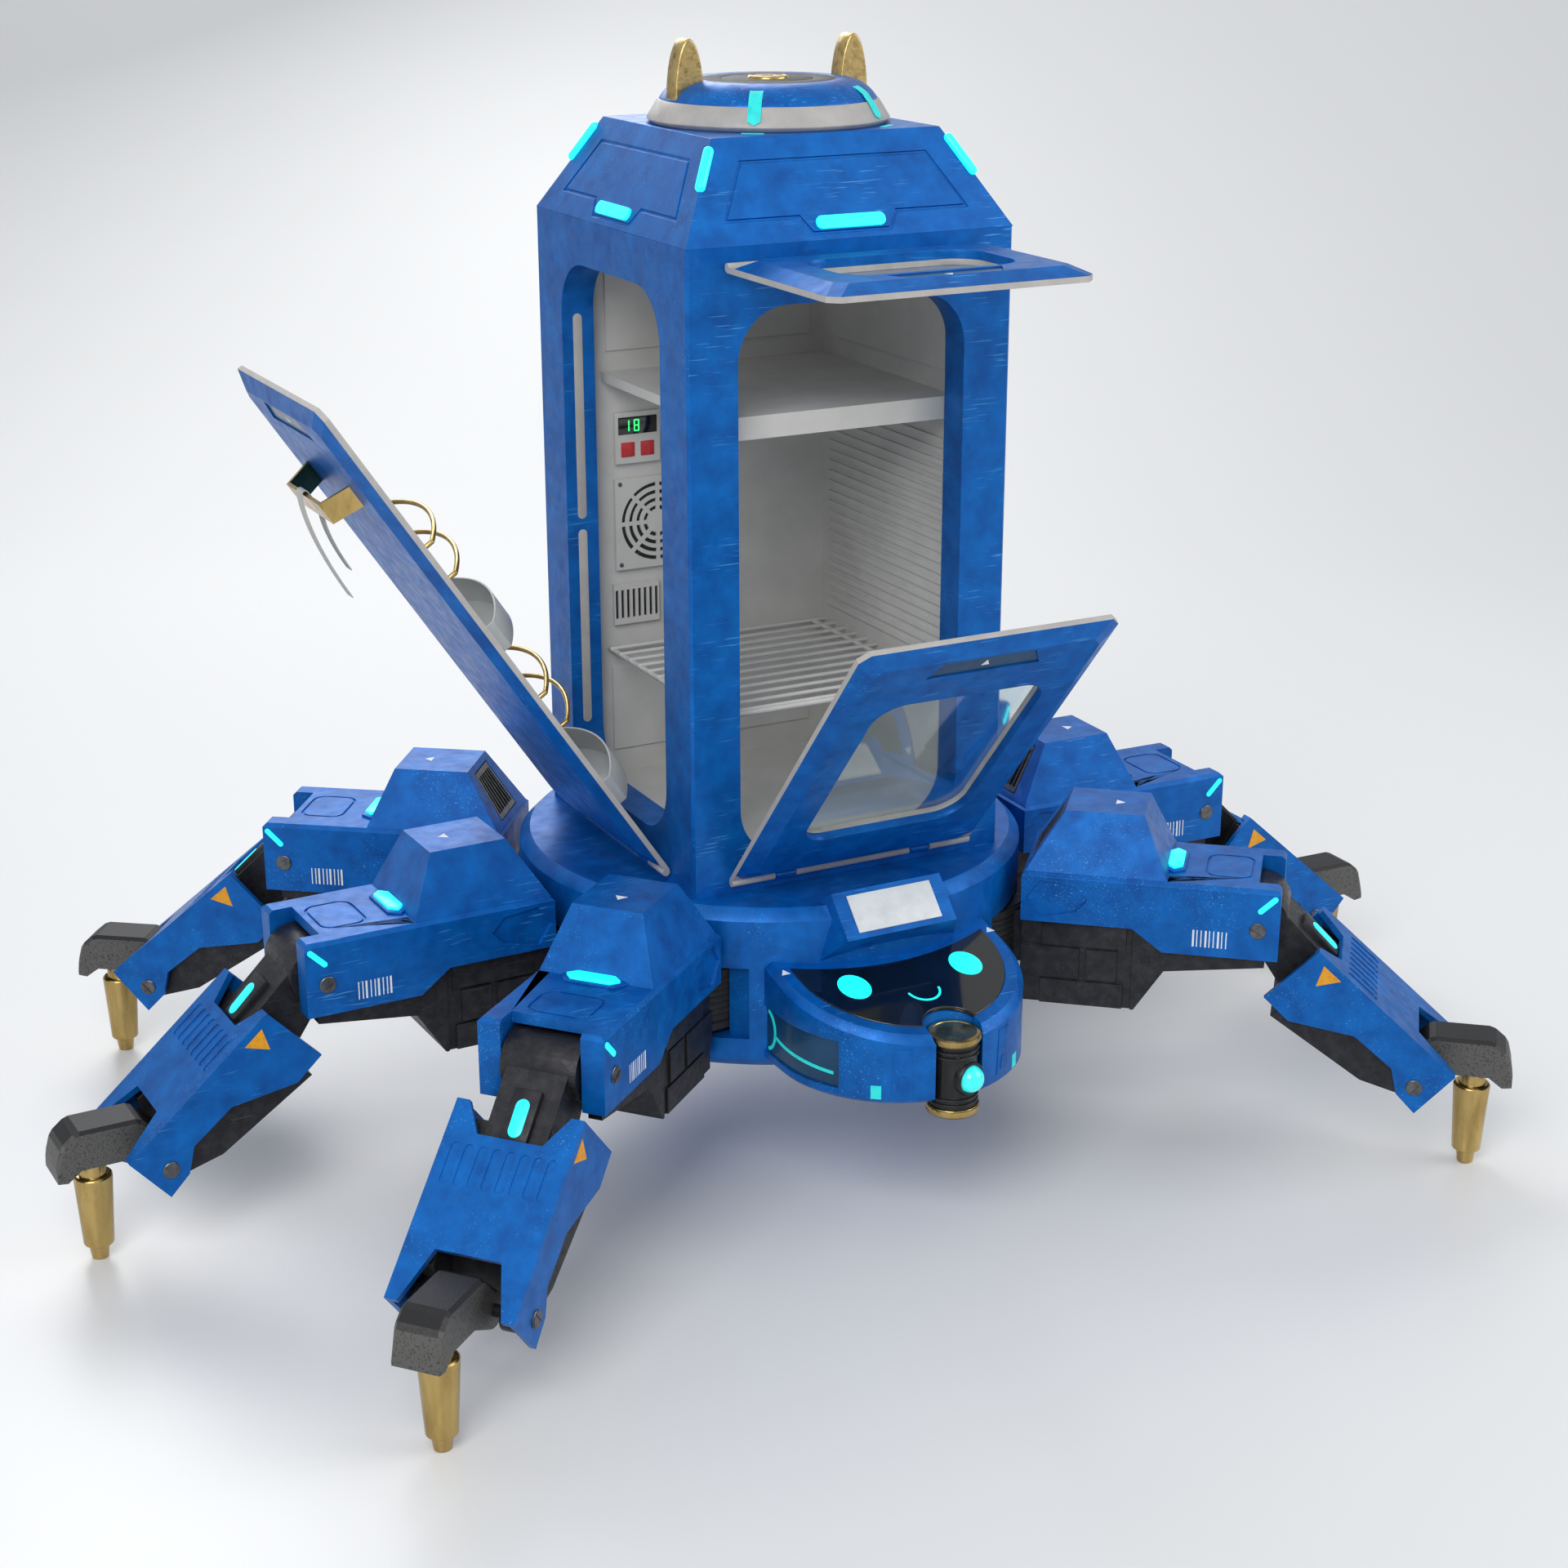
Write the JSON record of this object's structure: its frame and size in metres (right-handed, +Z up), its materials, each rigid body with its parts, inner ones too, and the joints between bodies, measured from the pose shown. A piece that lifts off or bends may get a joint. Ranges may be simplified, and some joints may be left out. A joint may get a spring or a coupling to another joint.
{
  "type": "six-legged walking delivery robot",
  "caption": "Cabinet with a side door, a lower window door and an upper flap, standing on a round drum that walks on jointed legs with brass peg feet.",
  "frame": {"origin": "middle of the footprint, on the floor under the feet", "axes": "+Z up, -Y towards the front with the console, +X to the robot's left as it faces forwards"},
  "size_m": [2.249, 1.4472, 1.612],
  "materials": {
    "blue_paint": "blue metallic paint over cast alloy, lightly scratched",
    "cast_frame": "dark cast alloy, fine grain",
    "hook_cast": "speckled grey cast alloy, polished black on top",
    "brass": "turned brass, brushed",
    "light_trim": "light grey moulded trim",
    "liner_white": "light grey refrigerator liner",
    "glass": "clear pane",
    "screen": "dark display glass",
    "lamp": "teal lamp cover",
    "sensor": "dark enamel with brass caps",
    "tray_clear": "frosted tray"
  },
  "bodies": {
    "root": {"drum": "blue_paint", "head_shell": "blue_paint", "head_screen": "screen", "head_sensor": "sensor", "cabinet_shell": "blue_paint", "cabinet_liner": "liner_white", "cabinet_shelves": "liner_white", "cabinet_fan_panel": "liner_white", "cabinet_roof": "blue_paint", "roof_lamps": "lamp", "dome_ring": "light_trim", "dome": "blue_paint", "dome_fins": "brass"},
    "side_door": {"side_door_skin": "blue_paint", "side_door_rim": "light_trim", "side_door_trays": "tray_clear", "side_door_rails": "brass"},
    "lower_door": {"lower_door_skin": "blue_paint", "lower_door_rim": "light_trim", "lower_door_glass": "glass"},
    "upper_flap": {"upper_flap_skin": "blue_paint", "upper_flap_rim": "light_trim", "upper_flap_glass": "glass"},
    "left_front_thigh": {"left_front_thigh_armour": "blue_paint", "left_front_thigh_frame": "cast_frame"},
    "left_front_shin": {"left_front_shin_armour": "blue_paint", "left_front_shin_frame": "cast_frame"},
    "left_front_foot": {"left_front_foot_arm": "hook_cast", "left_front_foot_peg": "brass"},
    "left_middle_thigh": {"left_middle_thigh_armour": "blue_paint", "left_middle_thigh_frame": "cast_frame"},
    "left_middle_shin": {"left_middle_shin_armour": "blue_paint", "left_middle_shin_frame": "cast_frame"},
    "left_middle_foot": {"left_middle_foot_arm": "hook_cast", "left_middle_foot_peg": "brass"},
    "left_rear_thigh": {"left_rear_thigh_armour": "blue_paint", "left_rear_thigh_frame": "cast_frame"},
    "left_rear_shin": {"left_rear_shin_armour": "blue_paint", "left_rear_shin_frame": "cast_frame"},
    "left_rear_foot": {"left_rear_foot_arm": "hook_cast", "left_rear_foot_peg": "brass"},
    "right_front_thigh": {"right_front_thigh_armour": "blue_paint", "right_front_thigh_frame": "cast_frame"},
    "right_front_shin": {"right_front_shin_armour": "blue_paint", "right_front_shin_frame": "cast_frame"},
    "right_front_foot": {"right_front_foot_arm": "hook_cast", "right_front_foot_peg": "brass"},
    "right_middle_thigh": {"right_middle_thigh_armour": "blue_paint", "right_middle_thigh_frame": "cast_frame"},
    "right_middle_shin": {"right_middle_shin_armour": "blue_paint", "right_middle_shin_frame": "cast_frame"},
    "right_middle_foot": {"right_middle_foot_arm": "hook_cast", "right_middle_foot_peg": "brass"},
    "right_rear_thigh": {"right_rear_thigh_armour": "blue_paint", "right_rear_thigh_frame": "cast_frame"},
    "right_rear_shin": {"right_rear_shin_armour": "blue_paint", "right_rear_shin_frame": "cast_frame"},
    "right_rear_foot": {"right_rear_foot_arm": "hook_cast", "right_rear_foot_peg": "brass"}
  },
  "joints": [
    {"name": "left_front_hip_yaw", "type": "hinge", "parent": "root", "child": "left_front_thigh", "pos_m": [-0.23227, -0.16765, 0.32], "axis": [0, 0, 1], "range_deg": [-15, 15]},
    {"name": "left_front_knee", "type": "hinge", "parent": "left_front_thigh", "child": "left_front_shin", "pos_m": [-0.56735, -0.45282, 0.378], "axis": [0.6481, -0.7615, 0], "range_deg": [-25, 30]},
    {"name": "left_front_ankle", "type": "hinge", "parent": "left_front_shin", "child": "left_front_foot", "pos_m": [-0.74859, -0.60708, 0.153], "axis": [0.6481, -0.7615, 0], "range_deg": [-12, 20]},
    {"name": "left_middle_hip_yaw", "type": "hinge", "parent": "root", "child": "left_middle_thigh", "pos_m": [-0.30491, 0.02258, 0.32], "axis": [0, 0, 1], "range_deg": [-15, 15]},
    {"name": "left_middle_knee", "type": "hinge", "parent": "left_middle_thigh", "child": "left_middle_shin", "pos_m": [-0.74478, 0.01183, 0.378], "axis": [0.0244, -0.9997, 0], "range_deg": [-25, 30]},
    {"name": "left_middle_ankle", "type": "hinge", "parent": "left_middle_shin", "child": "left_middle_foot", "pos_m": [-0.98271, 0.00601, 0.153], "axis": [0.0244, -0.9997, 0], "range_deg": [-12, 20]},
    {"name": "left_rear_hip_yaw", "type": "hinge", "parent": "root", "child": "left_rear_thigh", "pos_m": [-0.24549, 0.21102, 0.32], "axis": [0, 0, 1], "range_deg": [-15, 15]},
    {"name": "left_rear_knee", "type": "hinge", "parent": "left_rear_thigh", "child": "left_rear_shin", "pos_m": [-0.59965, 0.47212, 0.378], "axis": [-0.5934, -0.8049, 0], "range_deg": [-25, 30]},
    {"name": "left_rear_ankle", "type": "hinge", "parent": "left_rear_shin", "child": "left_rear_foot", "pos_m": [-0.79121, 0.61336, 0.153], "axis": [-0.5934, -0.8049, 0], "range_deg": [-12, 20]},
    {"name": "right_front_hip_yaw", "type": "hinge", "parent": "root", "child": "right_front_thigh", "pos_m": [0.23227, -0.16765, 0.32], "axis": [0, 0, 1], "range_deg": [-15, 15]},
    {"name": "right_front_knee", "type": "hinge", "parent": "right_front_thigh", "child": "right_front_shin", "pos_m": [0.56735, -0.45282, 0.378], "axis": [0.6481, 0.7615, 0], "range_deg": [-25, 30]},
    {"name": "right_front_ankle", "type": "hinge", "parent": "right_front_shin", "child": "right_front_foot", "pos_m": [0.74859, -0.60708, 0.153], "axis": [0.6481, 0.7615, 0], "range_deg": [-12, 20]},
    {"name": "right_middle_hip_yaw", "type": "hinge", "parent": "root", "child": "right_middle_thigh", "pos_m": [0.30491, 0.02258, 0.32], "axis": [0, 0, 1], "range_deg": [-15, 15]},
    {"name": "right_middle_knee", "type": "hinge", "parent": "right_middle_thigh", "child": "right_middle_shin", "pos_m": [0.74478, 0.01183, 0.378], "axis": [0.0244, 0.9997, 0], "range_deg": [-25, 30]},
    {"name": "right_middle_ankle", "type": "hinge", "parent": "right_middle_shin", "child": "right_middle_foot", "pos_m": [0.98271, 0.00601, 0.153], "axis": [0.0244, 0.9997, 0], "range_deg": [-12, 20]},
    {"name": "right_rear_hip_yaw", "type": "hinge", "parent": "root", "child": "right_rear_thigh", "pos_m": [0.24549, 0.21102, 0.32], "axis": [0, 0, 1], "range_deg": [-15, 15]},
    {"name": "right_rear_knee", "type": "hinge", "parent": "right_rear_thigh", "child": "right_rear_shin", "pos_m": [0.59965, 0.47212, 0.378], "axis": [-0.5934, 0.8049, 0], "range_deg": [-25, 30]},
    {"name": "right_rear_ankle", "type": "hinge", "parent": "right_rear_shin", "child": "right_rear_foot", "pos_m": [0.79121, 0.61336, 0.153], "axis": [-0.5934, 0.8049, 0], "range_deg": [-12, 20]},
    {"name": "side_door_hinge", "type": "hinge", "parent": "root", "child": "side_door", "pos_m": [-0.258, 0.03003, 0.48], "axis": [0, -1, 0], "range_deg": [-33.8, 0]},
    {"name": "lower_door_hinge", "type": "hinge", "parent": "root", "child": "lower_door", "pos_m": [0, -0.22797, 0.48], "axis": [1, 0, 0], "range_deg": [-40.5, 0]},
    {"name": "upper_flap_hinge", "type": "hinge", "parent": "root", "child": "upper_flap", "pos_m": [0, -0.22797, 1.341], "axis": [-1, 0, 0], "range_deg": [-90, 0]}
  ]
}
